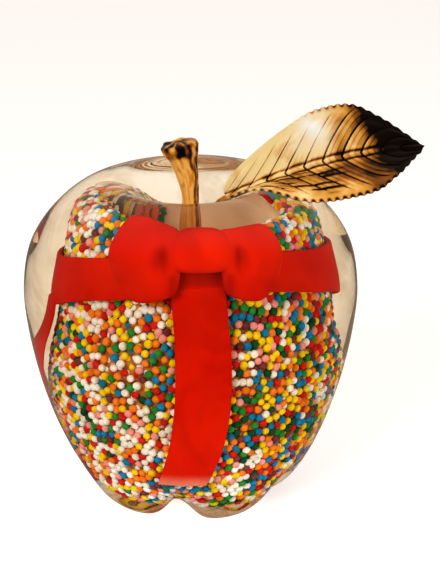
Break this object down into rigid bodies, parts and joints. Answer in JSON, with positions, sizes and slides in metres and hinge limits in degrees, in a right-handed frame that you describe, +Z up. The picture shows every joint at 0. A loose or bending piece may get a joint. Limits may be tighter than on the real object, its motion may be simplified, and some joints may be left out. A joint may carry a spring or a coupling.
{
  "type": "toffee apple",
  "caption": "Clear boiled-sugar toffee apple: lobed apple shape round a sprinkle-coated parcel with red ribbon and bow, gilt stem and leaf.",
  "frame": {"origin": "middle of the whole footprint, on the surface that the apple stands on; the apple's own axis is 7.5 mm to the left of it", "axes": "+Z up; the bow and the front face -Y; the leaf reaches towards +X"},
  "size_m": [0.0949, 0.08, 0.0979],
  "materials": {
    "clear_sugar": "clear polished boiled sugar",
    "sprinkles": "round sugar sprinkles in mixed colours",
    "red_ribbon": "soft satin red sugar ribbon",
    "gilt": "gilt with dark patina in the grooves"
  },
  "bodies": {
    "root": {"clear_shell": "clear_sugar", "sprinkle_core": "sprinkles", "ribbon_band": "red_ribbon", "ribbon_front": "red_ribbon", "ribbon_right": "red_ribbon", "ribbon_left": "red_ribbon", "bow_loop_left": "red_ribbon", "bow_loop_right": "red_ribbon", "bow_knot": "red_ribbon", "stem": "gilt", "leaf": "gilt"}
  },
  "joints": []
}
